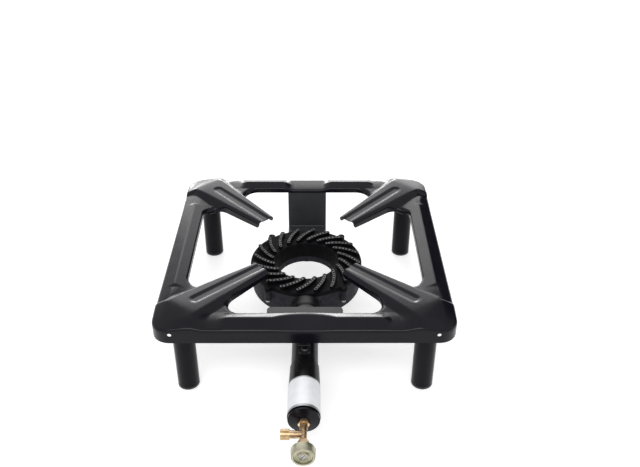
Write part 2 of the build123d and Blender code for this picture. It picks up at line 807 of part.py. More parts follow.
# Inlet nipple: the threaded end with a coned seat that takes the hose's union nut
with BuildPart() as inlet_nipple:
    with BuildSketch(neck_plane(neck_length)):
        Circle(inlet_thread / 2)
    extrude(amount=inlet_length)
    with BuildSketch(neck_plane(neck_length)):
        Circle(inlet_spigot_diameter / 2)
    extrude(amount=-inlet_spigot_length)
    with BuildSketch(neck_plane(neck_length - inlet_spigot_length)):
        Circle(neck_bore / 2)
    extrude(amount=inlet_spigot_length + inlet_length, mode=Mode.SUBTRACT)
    with BuildSketch(neck_plane(neck_length + inlet_length - inlet_cone_depth)):
        Circle(neck_bore / 2)
    with BuildSketch(neck_plane(neck_length + inlet_length)):
        Circle(inlet_cone_diameter / 2)
    loft(mode=Mode.SUBTRACT)
finish(inlet_nipple.part, "inlet_nipple")

# Gland nut: a hex cap on the barrel's end that presses the packing round the stem
with BuildPart() as gland_nut:
    with BuildSketch(axis_plane(barrel_end - gland_overlap)):
        RegularPolygon(gland_width / 2, 6, major_radius=False)
    extrude(amount=gland_overlap + packing_length + gland_wall)
    chamfer(gland_nut.faces().sort_by(Axis.Y)[0].edges(), gland_chamfer)
    with BuildSketch(axis_plane(barrel_end - gland_overlap)):
        Circle(barrel_diameter / 2 + thread_gap)
    extrude(amount=gland_overlap + packing_length, mode=Mode.SUBTRACT)
    with BuildSketch(axis_plane(packing_end)):
        Circle(stem_diameter / 2 + running_gap)
    extrude(amount=gland_wall, mode=Mode.SUBTRACT)
finish(gland_nut.part, "gland_nut")

# Packing ring: seals the stem under the gland nut
with BuildPart() as packing_ring:
    with BuildSketch(axis_plane(barrel_end)):
        Circle(barrel_diameter / 2)
        Circle(stem_diameter / 2 + running_gap, mode=Mode.SUBTRACT)
    extrude(amount=packing_length)
finish(packing_ring.part, "packing_ring")

# Valve spindle: needle point, threaded part in the barrel, stem and the hole for the wheel's screw
with BuildPart() as valve_spindle:
    seat_radius = seat_bore / 2 - needle_seat_gap
    needle_taper = (needle_base_diameter / 2 - seat_radius) / stem_thread_offset
    thread_radius = chamber_diameter / 2 - running_gap
    with BuildSketch(axis_section(0)):
        with BuildLine():
            Polyline(
                (chamber_start - needle_entry, 0),
                (chamber_start - needle_entry, seat_radius - needle_taper * needle_entry),
                (stem_thread_start, needle_base_diameter / 2),
                (stem_thread_start, thread_radius),
                (stem_thread_start + stem_thread_length, thread_radius),
                (stem_thread_start + stem_thread_length, stem_diameter / 2),
                (stem_end, stem_diameter / 2),
                (stem_end, 0),
                close=True,
            )
        make_face()
    revolve(axis=tube_axis)
    with BuildSketch(axis_plane(stem_end)):
        Circle(wheel_screw_thread / 2 + running_gap)
    extrude(amount=-wheel_screw_length, mode=Mode.SUBTRACT)
finish(valve_spindle.part, "valve_spindle")

# Hand wheel: a tapered round wheel with a dished face and a raised ring
with BuildPart() as hand_wheel:
    wheel_bore = stem_diameter / 2 + running_gap
    screw_well = wheel_screw_head / 2 + hole_clearance
    with BuildSketch(axis_section(0)):
        with BuildLine():
            Polyline(
                (wheel_back, wheel_bore),
                (wheel_back, wheel_back_diameter / 2),
                (wheel_front, wheel_front_diameter / 2),
                (wheel_front, wheel_dish_diameter / 2),
                (wheel_floor, wheel_dish_diameter / 2),
                (wheel_floor, wheel_ring_outer / 2),
                (wheel_floor + wheel_ring_height, wheel_ring_outer / 2),
                (wheel_floor + wheel_ring_height, wheel_ring_inner / 2),
                (wheel_floor, wheel_ring_inner / 2),
                (wheel_floor, screw_well),
                (wheel_screw_seat, screw_well),
                (wheel_screw_seat, wheel_bore),
                close=True,
            )
        make_face()
    revolve(axis=tube_axis)
    rims = hand_wheel.edges().filter_by(GeomType.CIRCLE).group_by(SortBy.RADIUS)[-2:]
    fillet(rims[0] + rims[1], wheel_edge)
finish(hand_wheel.part, "hand_wheel")

# Wheel screw: a grey slotted screw that holds the wheel on the stem
with BuildPart() as wheel_screw:
    with BuildSketch(axis_plane(wheel_screw_seat)):
        Circle(wheel_screw_head / 2)
    extrude(amount=wheel_screw_head_height)
    with BuildSketch(axis_plane(wheel_screw_seat)):
        Circle(wheel_screw_thread / 2)
    extrude(amount=-wheel_screw_length)
    with BuildSketch(axis_plane(wheel_floor)):
        Rectangle(wheel_screw_head, screw_slot_width, rotation=45)
    extrude(amount=-screw_slot_depth, mode=Mode.SUBTRACT)
finish(wheel_screw.part, "wheel_screw")
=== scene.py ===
"""Looks of a gas stool burner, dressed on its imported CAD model: pressed frame, finishes and studio."""
import json
import math

import bmesh
import bpy
import numpy as np
from mathutils import Matrix, Vector
from mathutils.geometry import delaunay_2d_cdt


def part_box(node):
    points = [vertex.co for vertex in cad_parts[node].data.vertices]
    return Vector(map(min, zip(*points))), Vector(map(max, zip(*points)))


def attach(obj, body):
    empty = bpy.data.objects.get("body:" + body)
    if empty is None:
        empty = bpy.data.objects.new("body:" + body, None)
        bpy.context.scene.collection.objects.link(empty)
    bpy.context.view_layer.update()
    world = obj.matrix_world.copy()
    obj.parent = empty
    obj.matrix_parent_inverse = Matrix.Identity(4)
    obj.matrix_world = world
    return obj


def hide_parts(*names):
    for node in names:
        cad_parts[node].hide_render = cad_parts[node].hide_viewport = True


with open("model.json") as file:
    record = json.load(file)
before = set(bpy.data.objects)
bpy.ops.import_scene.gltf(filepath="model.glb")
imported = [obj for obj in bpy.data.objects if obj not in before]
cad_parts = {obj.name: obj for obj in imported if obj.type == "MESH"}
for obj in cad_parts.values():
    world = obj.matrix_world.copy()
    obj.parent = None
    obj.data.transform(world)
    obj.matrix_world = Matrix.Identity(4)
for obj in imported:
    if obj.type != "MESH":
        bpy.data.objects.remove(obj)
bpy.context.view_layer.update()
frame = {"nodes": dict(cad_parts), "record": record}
nodes = frame["nodes"]
MM = 0.001
DIAGONAL = math.sqrt(2)
QUARTER_TURN = math.pi / 2

# Boxes of the CAD nodes that the values below follow, in metres
FRAME_LOW, FRAME_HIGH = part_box("top_frame")
CAP_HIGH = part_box("burner_cap")[1]
LABEL_LOW, LABEL_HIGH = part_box("rating_label")
WHEEL_LOW, WHEEL_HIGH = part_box("hand_wheel")

# Camera, solved from the photograph
CAMERA_PLACE = (0.0144, -0.9513, 0.7627)
CAMERA_PITCH = math.radians(33.04)
CAMERA_YAW = math.radians(-0.39)
CAMERA_ROLL = math.radians(0.20)
CAMERA_LENS = 42.92

# Pressed frame, in millimetres: sizes of the CAD model, with softer bends and flanks of its own
HALF_SIDE = round(FRAME_HIGH.x / MM, 3)
CORNER_RADIUS = 25.0
SKIRT_TOP = 124.5
SKIRT_BOTTOM = round(FRAME_LOW.z / MM, 3)
SKIRT_BEND = 3.5
SHEET = 1.5
RAIL_WIDTH = 35.0
RAIL_RISE = 2.5
RAIL_BEND = 2.5
LIP_BOTTOM = 118.8
INNER_HALF = HALF_SIDE - RAIL_WIDTH
CORNER_REACH = (HALF_SIDE - CORNER_RADIUS) * DIAGONAL + CORNER_RADIUS

# Arms, from their tips over the crease to the corners
ARM_TIP_REACH = 90.0
ARM_TIP_WIDTH = 30.6
ARM_TIP_HEIGHT = 130.0
ARM_CREASE_WIDTH = 55.0
ARM_CREASE_HEIGHT = round(FRAME_HIGH.z / MM, 3)
ARM_CREASE_SETBACK = 39.5
ARM_CREASE_SOFTNESS = 1.7
ARM_CORNER_DROP = 13.0
ARM_CORNER_FLARE = math.tan(math.radians(40))
ARM_BEND = 4.5
ARM_CROWN = 0.8
ARM_EDGE_SHARE = 0.55
ARM_EDGE_REACH = 18.0
ARM_COVE = 9.0
ARM_COVE_FLARE = 16.0
ARM_COVE_POWER = 1.3
ARM_FLARE_REACH = 34.0
ARM_CREASE_REACH = CORNER_REACH - ARM_CREASE_SETBACK
ARM_LENGTH = ARM_CREASE_REACH - ARM_TIP_REACH
ARM_TAPER = (ARM_CREASE_WIDTH - ARM_TIP_WIDTH) / 2 / ARM_LENGTH
RIDGE_SOFTNESS = 1.5
RIDGE_FADE = 3.0
RIDGE_LEAST = 0.01
TIP_TRIM = 5.0
ROOT_RADIUS = 22.5
ROOT_BLEND = 18.0
ROOT_BEND = 6.5
GROOVE_WIDTH = 12.5
GROOVE_DEPTH = 1.6
GROOVE_SETBACK = 20.0
GROOVE_SOFTNESS = 3.4
GROOVE_END = ARM_CREASE_REACH - GROOVE_SETBACK - GROOVE_WIDTH / 2

# Beads on the rails, the arched middle of the front rail and the sagging middle of the rear one
BEAD_RISE = 6.0
BEAD_INSET = 19.5
BEAD_HEIGHT = RAIL_RISE * BEAD_INSET / RAIL_WIDTH + BEAD_RISE
BEAD_END = 116.0
BEAD_GAP = 84.0
BEAD_RAMP = 16.0
BEAD_BLEND = 20.0
BEAD_SOFTNESS = 0.45
SIDE_BEAD_END = 112.0
SIDE_BEAD_RAMP = 5.0
PLAIN_CROWN = 1.4
ROOF_START = 10.0
ROOF_END = 45.0
ROOF_SOFTNESS = 2.6
ARCH_HEIGHT = 5.0
ARCH_INSET = 29.5
ARCH_EDGE = 3.3
SAG_RISE = 2.0
SAG_DROP = 3.4

# Small holes in the front skirt
HOLE_SPACING = 348.0
HOLE_HEIGHT = 117.5
HOLE_DIAMETER = 5.5
HOLE_SEGMENTS = 32
CUTTER_LENGTH = 12.0

# Fineness of the pressed frame's mesh
FRAME_STEP = 1.4
CLEAR_SHARE = 0.6
CORNER_STEPS = 32
ROOT_STEPS = 40
WALL_STEPS = 4
BEND_STEPS = 7
TRIANGLE_TOLERANCE = 1e-5
WELD_DISTANCE = 0.002
SHARP_ANGLE = math.radians(45)

# Places of finishes and of painted light, in metres
RIB_COUNT = 20
RIB_START = math.radians(-93.6)
RIB_INNER = 0.052
RIB_OUTER = 0.079
RIB_ENTRY = math.radians(40)
RIB_SWEEP = math.radians(21.7)
RIM_WIDTH = 0.0021
RIM_FADE = 0.0006
GROUND_TOP = CAP_HIGH.z - 0.0001
GROUND_FADE = 0.0004
SOCKET_START = -CAP_HIGH.x
SOCKET_FADE = 0.001
SOCKET_CREST = 0.002
SOCKET_FLANK = 0.013
HEAT_END = -0.165
HEAT_FADE = 0.01
FRONT_BAND = LABEL_LOW.y + 0.0035
REAR_BAND = LABEL_HIGH.y - 0.002
BAND_FADE = 0.0005
WHEEL_AXIS = (WHEEL_LOW.z + WHEEL_HIGH.z) / 2
WHEEL_RING = 0.0026093
WHEEL_EDGE = 0.0012

# Textures: the range that most of a noise lies in, the bevel test and the stretch of tool marks
NOISE_LOW = 0.3
NOISE_HIGH = 0.7
NOISE_ROUGHNESS = 0.55
CLOUD_LOW = 0.35
EDGE_SAMPLES = 6
EDGE_BENT = 0.82
EDGE_FLAT = 0.98
EVEN = (1, 1, 1)
ACROSS_X = (1, 0.2, 0.2)
ACROSS_Y = (0.2, 1, 0.2)

# Studio, in metres, with the fades of its dim part as parts of a unit direction
REAR_DISTANCE = 4.8
DIM_BELOW = (0.55, 0.9)
DIM_RIGHT = (0.26, 0.4)
DIM_BEHIND = (0.15, 0.45)
DIM_LEVEL = 0.03
MATT_LEVEL = 0.7
FLOOR_RADIUS = 9.0
FLOOR_SEGMENTS = 96
FLOOR_HEIGHT = -0.0002
FLOOR_GLOW = 0.5


def smoothstep(low, high, value):
    """0 below low, 1 above high and a soft S between them."""
    t = np.clip((value - low) / (high - low), 0, 1)
    return t * t * (3 - 2 * t)


def blend(first, second, share):
    """The first value where the share is 0, the second where it is 1."""
    return first + (second - first) * share


def soft_min(a, b, softness):
    """The lower of two heights, with the kink between them rounded."""
    low = np.minimum(a, b)
    return low - softness * np.log(np.exp((low - a) / softness) + np.exp((low - b) / softness))


def arm_half_width(reach):
    """Half the overall width of an arm at a distance from the stand's centre."""
    past_crease = np.maximum(reach - ARM_CREASE_REACH, 0)
    tapered = ARM_TIP_WIDTH / 2 + ARM_TAPER * (reach - ARM_TIP_REACH)
    return tapered + (ARM_CORNER_FLARE - ARM_TAPER) * past_crease


def outline_depth(x, y):
    """Distance inwards from the frame's rounded square outline."""
    qx = np.abs(x) - (HALF_SIDE - CORNER_RADIUS)
    qy = np.abs(y) - (HALF_SIDE - CORNER_RADIUS)
    outside = np.hypot(np.maximum(qx, 0), np.maximum(qy, 0))
    return CORNER_RADIUS - outside - np.minimum(np.maximum(qx, qy), 0)


def bead_faces(depth, arch):
    """Heights of a bead's outer and inner faces, which the arch moves towards the window."""
    ridge = blend(BEAD_HEIGHT, ARCH_HEIGHT, arch)
    inset = blend(BEAD_INSET, ARCH_INSET, arch)
    edge = blend(RAIL_RISE, ARCH_EDGE, arch)
    outer = ridge * (depth - RAIL_BEND / 2) / (inset - RAIL_BEND / 2)
    inner = ridge - (ridge - edge) * (depth - inset) / (RAIL_WIDTH - inset)
    return outer, inner


def rail_height(x, y):
    """Height of the rails' tops: plain by the corners, then beads, an arch in front and a sag behind."""
    front_or_rear = np.abs(y) > np.abs(x)
    along = np.where(front_or_rear, np.abs(x), np.abs(y))
    depth = HALF_SIDE - np.where(front_or_rear, np.abs(y), np.abs(x))
    arch = np.where(front_or_rear & (y < 0), np.clip(1 - (2 * along / BEAD_GAP) ** 2, 0, 1), 0)
    outer, inner = bead_faces(depth, arch)
    inward = np.clip(outline_depth(x, y) / RAIL_WIDTH, 0, 1)
    crowned = RAIL_RISE * inward + PLAIN_CROWN * 4 * inward * (1 - inward)
    roof = np.maximum(soft_min(outer, inner, ROOF_SOFTNESS), 0)
    plain = blend(crowned, roof, smoothstep(ROOF_START, ROOF_END, (np.abs(x) - np.abs(y)) / DIAGONAL))
    faces = np.where(depth < RAIL_WIDTH, soft_min(outer, inner, BEAD_SOFTNESS), plain)
    end = np.where(front_or_rear, BEAD_END, SIDE_BEAD_END)
    ramp = np.where(front_or_rear, BEAD_RAMP, SIDE_BEAD_RAMP)
    bead = blend(plain, faces, 1 - smoothstep(end - ramp, end, along))
    across = np.clip(depth / RAIL_WIDTH, 0, 1)
    sag = SAG_RISE * across - SAG_DROP * across ** 2
    off_middle = smoothstep(BEAD_GAP / 2 - BEAD_BLEND, BEAD_GAP / 2, along)
    return SKIRT_TOP + blend(bead, sag, np.where(front_or_rear & (y > 0), 1 - off_middle, 0))


def arm_height(reach, side):
    """Height of an arm's top: rising to the crease, falling to the corner, with a groove from the tip."""
    rising = blend(ARM_TIP_HEIGHT, ARM_CREASE_HEIGHT, (reach - ARM_TIP_REACH) / ARM_LENGTH)
    falling = ARM_CREASE_HEIGHT - ARM_CORNER_DROP * (reach - ARM_CREASE_REACH) / ARM_CREASE_SETBACK
    crown = ARM_CROWN * (side / arm_half_width(reach)) ** 2
    from_groove = np.hypot(np.maximum(reach - GROOVE_END, 0), side)
    edge = GROOVE_WIDTH / 2
    groove = GROOVE_DEPTH * (1 - smoothstep(edge - GROOVE_SOFTNESS, edge + GROOVE_SOFTNESS, from_groove))
    return soft_min(rising, falling, ARM_CREASE_SOFTNESS) - crown - groove


def arm_root():
    """An arm's edge and its fillet to the right-hand rail: tip corner, outward normal, centre and end."""
    along = np.array([1 + ARM_TAPER, 1 - ARM_TAPER]) / DIAGONAL
    along /= np.linalg.norm(along)
    out = np.array([along[1], -along[0]])
    corner = np.array([ARM_TIP_REACH + ARM_TIP_WIDTH / 2, ARM_TIP_REACH - ARM_TIP_WIDTH / 2]) / DIAGONAL
    centre_x = INNER_HALF - ROOT_RADIUS
    centre_y = corner[1] + (ROOT_RADIUS - (centre_x - corner[0]) * out[0]) / out[1]
    centre = np.array([centre_x, centre_y])
    return corner, out, centre, centre - ROOT_RADIUS * out


TIP_CORNER, ARM_OUTWARD, ROOT_CENTRE, ROOT_END = arm_root()
ROOT_REACH = ROOT_END.sum() / DIAGONAL


def frame_height(x, y):
    """Height of the pressed sheet's top before its edges are bent down."""
    reach = (np.abs(x) + np.abs(y)) / DIAGONAL
    side = np.abs(np.abs(x) - np.abs(y)) / DIAGONAL
    rooted = smoothstep(ROOT_REACH, ROOT_REACH + ROOT_BLEND, reach)
    past_ridge = side - arm_half_width(reach) + ARM_BEND / 2 * rooted
    rails = rail_height(x, y)
    depth = outline_depth(x, y)
    share = blend(ARM_EDGE_SHARE, 1, smoothstep(0, ARM_EDGE_REACH, depth))
    rise = np.maximum(arm_height(reach, side) - rails, 0) * share
    flare = np.where(np.abs(y) > np.abs(x), 1 - smoothstep(0, ARM_FLARE_REACH, depth), 0)
    cove = ARM_COVE + ARM_COVE_FLARE * flare
    flank = rise * np.maximum(1 - past_ridge / cove, 0) ** ARM_COVE_POWER
    softness = RIDGE_SOFTNESS * rise / (rise + RIDGE_FADE) + RIDGE_LEAST
    return rails + np.maximum(soft_min(rise, flank, softness), 0)


def window_run():
    """Edge of the right-hand window from arm tip to arm tip: points, directions into the sheet, bends."""
    rail_count = int(ROOT_CENTRE[1] / FRAME_STEP)
    points = [(INNER_HALF, ROOT_CENTRE[1] * i / rail_count) for i in range(rail_count)]
    inward = [(1.0, 0.0)] * rail_count
    bends = [RAIL_BEND] * rail_count
    arc_end = math.atan2(-ARM_OUTWARD[1], -ARM_OUTWARD[0])
    for i in range(ROOT_STEPS + 1):
        share = i / ROOT_STEPS
        direction = np.array([math.cos(arc_end * share), math.sin(arc_end * share)])
        points.append(ROOT_CENTRE + ROOT_RADIUS * direction)
        inward.append(direction)
        swell = math.sin(math.pi * share) * (ROOT_BEND - (RAIL_BEND + ARM_BEND) / 2)
        bends.append(blend(RAIL_BEND, ARM_BEND, share) + swell)
    arm_count = int(np.linalg.norm(ROOT_END - TIP_CORNER) / FRAME_STEP)
    for i in range(1, arm_count + 1):
        points.append(blend(ROOT_END, TIP_CORNER, i / arm_count))
        inward.append(-ARM_OUTWARD)
        bends.append(ARM_BEND)
    # The last bend goes straight across the arm, so that it meets the tip's edge
    inward[-1] = (-1 / DIAGONAL, 1 / DIAGONAL)
    points, inward, bends = np.array(points), np.array(inward), np.array(bends)
    mirror = np.array([1, -1])
    return (
        np.vstack([(points * mirror)[:0:-1], points]),
        np.vstack([(inward * mirror)[:0:-1], inward]),
        np.concatenate([bends[:0:-1], bends]),
    )


def outer_ring():
    """The frame's outline as points and directions into the sheet."""
    points, inward = [], []
    straight = HALF_SIDE - CORNER_RADIUS
    steps = int(2 * straight / FRAME_STEP)
    for quarter in range(4):
        turn = Matrix.Rotation(quarter * QUARTER_TURN, 2)
        for i in range(steps):
            points.append(turn @ Vector((HALF_SIDE, blend(-straight, straight, i / steps))))
            inward.append(turn @ Vector((-1, 0)))
        for i in range(CORNER_STEPS):
            angle = QUARTER_TURN * i / CORNER_STEPS
            direction = Vector((math.cos(angle), math.sin(angle)))
            points.append(turn @ (Vector((straight, straight)) + CORNER_RADIUS * direction))
            inward.append(turn @ -direction)
    return np.array(points), np.array(inward)


def bent_strip(points, inward, bends, bottom):
    """Rows of points from the foot of a wall up and over its bend to where the sheet is level again."""
    rows = []
    edge_height = frame_height(points[:, 0], points[:, 1]) - bends
    for i in range(WALL_STEPS):
        rows.append(np.column_stack([points, blend(bottom, edge_height, i / WALL_STEPS)]))
    for i in range(BEND_STEPS + 1):
        angle = QUARTER_TURN * i / BEND_STEPS
        place = points + inward * (bends * (1 - math.cos(angle)))[:, None]
        height = frame_height(place[:, 0], place[:, 1]) - bends * (1 - math.sin(angle))
        rows.append(np.column_stack([place, height]))
    return rows


def inside(points, loop):
    """Which points lie inside a closed loop, by counting crossings."""
    result = np.zeros(len(points), bool)
    following = np.roll(loop, -1, axis=0)
    for (x0, y0), (x1, y1) in zip(loop, following):
        if y0 == y1:
            continue
        crosses = (y0 > points[:, 1]) != (y1 > points[:, 1])
        result ^= crosses & (points[:, 0] < x0 + (points[:, 1] - y0) / (y1 - y0) * (x1 - x0))
    return result


def on_sheet(points, outer, inner):
    """Which points lie between the sheet's outer and inner loops."""
    return inside(points, outer) & ~inside(points, inner)


def sheet_grid(outer, inner):
    """A staggered grid of points between the loops, kept clear of both."""
    axis = np.arange(-HALF_SIDE, HALF_SIDE + FRAME_STEP, FRAME_STEP)
    xs, ys = np.meshgrid(axis, axis)
    xs[::2] += FRAME_STEP / 2
    spots = np.column_stack([xs.ravel(), ys.ravel()])
    spots = spots[on_sheet(spots, outer, inner)]
    clear = np.ones(len(spots), bool)
    for x, y in np.vstack([outer, inner]):
        clear &= np.hypot(spots[:, 0] - x, spots[:, 1] - y) > FRAME_STEP * CLEAR_SHARE
    return spots[clear]


def loop_edges(first, count):
    """Pairs of neighbours round a closed loop of numbered points."""
    return [(first + i, first + (i + 1) % count) for i in range(count)]


def add_strip(mesh, rows, closed):
    """Faces between rows of points, with the outside of the wall facing away from the sheet."""
    grid = [[mesh.verts.new(p * MM) for p in row] for row in rows]
    count = len(rows[0])
    for lower, upper in zip(grid, grid[1:]):
        for i in range(count if closed else count - 1):
            j = (i + 1) % count
            mesh.faces.new((lower[i], lower[j], upper[j], upper[i]))


def add_sheet(mesh, outer, inner):
    """Triangles of the level part of the sheet, between the strips' last rows."""
    points = np.vstack([outer, inner, sheet_grid(outer, inner)])
    edges = loop_edges(0, len(outer)) + loop_edges(len(outer), len(inner))
    corners = [Vector(point) for point in points]
    places, _, triangles, *_ = delaunay_2d_cdt(corners, edges, [], 0, TRIANGLE_TOLERANCE)
    flat = np.array(places)
    triangles = np.array(triangles)
    heights = frame_height(flat[:, 0], flat[:, 1])
    verts = {}
    for triangle in triangles[on_sheet(flat[triangles].mean(axis=1), outer, inner)]:
        for i in triangle:
            if i not in verts:
                verts[i] = mesh.verts.new((flat[i, 0] * MM, flat[i, 1] * MM, heights[i] * MM))
        mesh.faces.new([verts[i] for i in triangle])


def new_piece(name, mesh):
    """An object with a finished mesh, linked to the scene."""
    data = bpy.data.meshes.new(name)
    mesh.to_mesh(data)
    mesh.free()
    piece = bpy.data.objects.new(name, data)
    bpy.context.scene.collection.objects.link(piece)
    return piece


def pressed_frame():
    """The stand's top frame as one pressed sheet with soft bends, coves and beads."""
    mesh = bmesh.new()
    points, inward = outer_ring()
    rows = bent_strip(points, inward, np.full(len(points), SKIRT_BEND), SKIRT_BOTTOM)
    add_strip(mesh, rows, closed=True)
    outer = rows[-1][:, :2]
    points, inward, bends = window_run()
    from_tip = np.linalg.norm(points - points[-1], axis=1)
    trimmed = np.clip(1 - np.minimum(from_tip, from_tip[::-1]) / TIP_TRIM, 0, 1)
    lip_bottom = LIP_BOTTOM + TIP_TRIM * (1 - np.sqrt(1 - trimmed ** 2))
    next_quarter = np.array(Matrix.Rotation(QUARTER_TURN, 2)).T
    inner = []
    for quarter in range(4):
        turn = np.array(Matrix.Rotation(quarter * QUARTER_TURN, 2)).T
        rows = bent_strip(points @ turn, inward @ turn, bends, lip_bottom)
        add_strip(mesh, [row[::-1] for row in rows], closed=False)
        last = rows[-1][:, :2]
        following = last[0] @ next_quarter
        tip_steps = int(np.linalg.norm(following - last[-1]) / FRAME_STEP)
        inner += list(last) + [blend(last[-1], following, i / tip_steps) for i in range(1, tip_steps)]
    add_sheet(mesh, outer, np.array(inner))
    bmesh.ops.remove_doubles(mesh, verts=mesh.verts, dist=WELD_DISTANCE * MM)
    bmesh.ops.recalc_face_normals(mesh, faces=mesh.faces)
    return new_piece("pressed_frame", mesh)


def settle(piece):
    """Turns a piece's modifiers into its mesh."""
    graph = bpy.context.evaluated_depsgraph_get()
    data = bpy.data.meshes.new_from_object(piece.evaluated_get(graph))
    piece.modifiers.clear()
    piece.data = data


def thicken(piece):
    """Gives the pressed sheet its thickness, downwards from its top."""
    thickness = piece.modifiers.new("sheet", "SOLIDIFY")
    thickness.thickness = SHEET * MM
    thickness.offset = -1
    settle(piece)


def cut_hole(piece, x):
    """Cuts a small round hole through the front skirt."""
    mesh = bmesh.new()
    turn = Matrix.Rotation(-QUARTER_TURN, 4, "X")
    place = Matrix.Translation(Vector((x, -HALF_SIDE, HOLE_HEIGHT)) * MM) @ turn
    radius = HOLE_DIAMETER / 2 * MM
    bmesh.ops.create_cone(
        mesh, cap_ends=True, segments=HOLE_SEGMENTS, radius1=radius, radius2=radius,
        depth=CUTTER_LENGTH * MM, matrix=place,
    )
    cutter = new_piece("cutter", mesh)
    cut = piece.modifiers.new("hole", "BOOLEAN")
    cut.object = cutter
    cut.solver = "EXACT"
    settle(piece)
    bpy.data.objects.remove(cutter)


def smooth(piece):
    """Shades a piece smoothly, apart from its sharp edges."""
    for polygon in piece.data.polygons:
        polygon.use_smooth = True
    piece.data.set_sharp_from_angle(angle=SHARP_ANGLE)


class Nodes:
    """Helpers that add nodes to a shader tree."""

    def __init__(self, tree, coordinates):
        self.tree = tree
        self.coordinates = self.node("ShaderNodeTexCoord").outputs[coordinates]

    def node(self, kind, **settings):
        """A new node with some of its properties set."""
        made = self.tree.nodes.new(kind)
        for key, value in settings.items():
            setattr(made, key, value)
        return made

    def link(self, output, target):
        """Joins an output to an input."""
        self.tree.links.new(output, target)

    def noise(self, scale, detail, roughness=NOISE_ROUGHNESS, stretch=EVEN):
        """Noise with about so many waves a metre."""
        mapping = self.node("ShaderNodeMapping")
        mapping.inputs["Scale"].default_value = stretch
        self.link(self.coordinates, mapping.inputs["Vector"])
        made = self.node("ShaderNodeTexNoise")
        made.inputs["Scale"].default_value = scale
        made.inputs["Detail"].default_value = detail
        made.inputs["Roughness"].default_value = roughness
        self.link(mapping.outputs["Vector"], made.inputs["Vector"])
        return made.outputs["Fac"]

    def ramp(self, value, stops):
        """Colours along a value, from pairs of a place and a colour."""
        made = self.node("ShaderNodeValToRGB")
        elements = made.color_ramp.elements
        while len(elements) < len(stops):
            elements.new(0.5)
        for element, (place, color) in zip(elements, stops):
            element.position = place
            element.color = (*color, 1)
        self.link(value, made.inputs["Fac"])
        return made.outputs["Color"]

    def clouds(
        self, dark, light, scale, detail, roughness=NOISE_ROUGHNESS, low=CLOUD_LOW, high=NOISE_HIGH
    ):
        """Soft patches of two colours."""
        return self.ramp(self.noise(scale, detail, roughness), ((low, dark), (high, light)))

    def spread(self, value, start, end, low=NOISE_LOW, high=NOISE_HIGH):
        """From start where a value is low to end where it is high, along a soft S."""
        made = self.node("ShaderNodeMapRange", interpolation_type="SMOOTHSTEP")
        limits = {"From Min": low, "From Max": high, "To Min": start, "To Max": end}
        for key, number in limits.items():
            made.inputs[key].default_value = number
        self.link(value, made.inputs["Value"])
        return made.outputs["Result"]

    def mix(self, share, first, second):
        """The first colour where the share is 0, the second where it is 1."""
        made = self.node("ShaderNodeMix", data_type="RGBA")
        self.link(share, made.inputs["Factor"])
        for key, color in (("A", first), ("B", second)):
            socket = [s for s in made.inputs if s.name == key and s.type == "RGBA"][0]
            if isinstance(color, tuple):
                socket.default_value = (*color, 1)
            else:
                self.link(color, socket)
        return [s for s in made.outputs if s.type == "RGBA"][0]

    def math(self, operation, first, second=0.0):
        """One step of arithmetic on outputs or numbers."""
        made = self.node("ShaderNodeMath", operation=operation)
        for socket, value in zip(made.inputs, (first, second)):
            if isinstance(value, (int, float)):
                socket.default_value = value
            else:
                self.link(value, socket)
        return made.outputs["Value"]

    def axis(self, name):
        """One of the coordinates."""
        made = self.node("ShaderNodeSeparateXYZ")
        self.link(self.coordinates, made.inputs["Vector"])
        return made.outputs[name]


class Shader(Nodes):
    """A node material with a Principled shader and helpers that add texture to it."""

    def __init__(self, name, color, roughness, metallic=0.0, specular=0.5):
        self.material = bpy.data.materials.new(name)
        self.material.use_nodes = True
        super().__init__(self.material.node_tree, "Object")
        self.principled = self.tree.nodes["Principled BSDF"]
        self.principled.inputs["Base Color"].default_value = (*color, 1)
        self.principled.inputs["Roughness"].default_value = roughness
        self.principled.inputs["Metallic"].default_value = metallic
        self.principled.inputs["Specular IOR Level"].default_value = specular

    def drive(self, name, output):
        """Leads an output to one of the shader's inputs."""
        self.link(output, self.principled.inputs[name])

    def edge(self, width):
        """0 on flat faces, up to 1 beside the edges."""
        rounded = self.node("ShaderNodeBevel", samples=EDGE_SAMPLES)
        rounded.inputs["Radius"].default_value = width
        product = self.node("ShaderNodeVectorMath", operation="DOT_PRODUCT")
        self.link(rounded.outputs["Normal"], product.inputs[0])
        self.link(self.node("ShaderNodeNewGeometry").outputs["Normal"], product.inputs[1])
        return self.spread(product.outputs["Value"], 1, 0, low=EDGE_BENT, high=EDGE_FLAT)

    def bump(self, height, distance, strength=1.0):
        """Relief along a texture, up to a distance in metres."""
        made = self.node("ShaderNodeBump")
        made.inputs["Strength"].default_value = strength
        made.inputs["Distance"].default_value = distance
        self.link(height, made.inputs["Height"])
        self.drive("Normal", made.outputs["Normal"])


def grey(level):
    """A neutral colour."""
    return (level, level, level)


def orange_peel(paint):
    """The fine waviness of sprayed paint."""
    paint.bump(paint.noise(scale=420, detail=2), distance=0.0001)


def black_paint(name, dark, light, gloss, specular):
    """Black paint with faint cloudy variation in colour and gloss and a fine orange peel."""
    paint = Shader(name, dark, gloss, specular=specular)
    paint.drive("Base Color", paint.clouds(dark, light, scale=14, detail=4))
    sheen = paint.noise(scale=40, detail=3)
    paint.drive("Roughness", paint.spread(sheen, start=gloss - 0.03, end=gloss + 0.04))
    orange_peel(paint)
    return paint.material


def iron(name, dark, light, specular):
    """Sand-cast iron with a rough grain, and its cloudy colour, which isn't led to the shader yet."""
    cast = Shader(name, dark, roughness=0.6, specular=specular)
    grain = cast.noise(scale=520, detail=6, roughness=0.65)
    cast.drive("Roughness", cast.spread(grain, start=0.48, end=0.72))
    cast.bump(grain, distance=0.0009, strength=0.8)
    return cast, cast.clouds(dark, light, scale=140, detail=6, roughness=0.65, low=NOISE_LOW)


